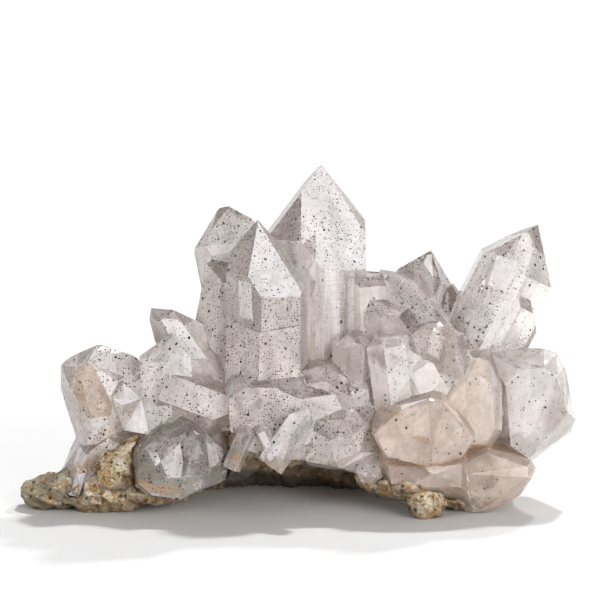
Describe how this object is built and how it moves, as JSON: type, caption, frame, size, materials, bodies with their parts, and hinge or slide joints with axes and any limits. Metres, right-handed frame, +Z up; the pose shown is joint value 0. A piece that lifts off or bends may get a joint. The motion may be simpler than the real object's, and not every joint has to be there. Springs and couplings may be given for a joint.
{
  "type": "quartz crystal",
  "caption": "Cluster of clear to milky quartz crystals grown together on a little brown rock, arched over a hollow between its natural feet.",
  "frame": {"origin": "middle of the footprint, on the surface that the feet rest on", "axes": "+X to the right along the cluster's width, +Y to its back, +Z up"},
  "size_m": [0.1498, 0.0752, 0.0898],
  "materials": {
    "quartz": "natural crystal faces, clear to milky, with dark specks",
    "rock": "rough natural rock, ochre, brown and grey-green"
  },
  "bodies": {
    "root": {"quartz_crystals": "quartz", "matrix_rock": "rock"}
  },
  "joints": []
}
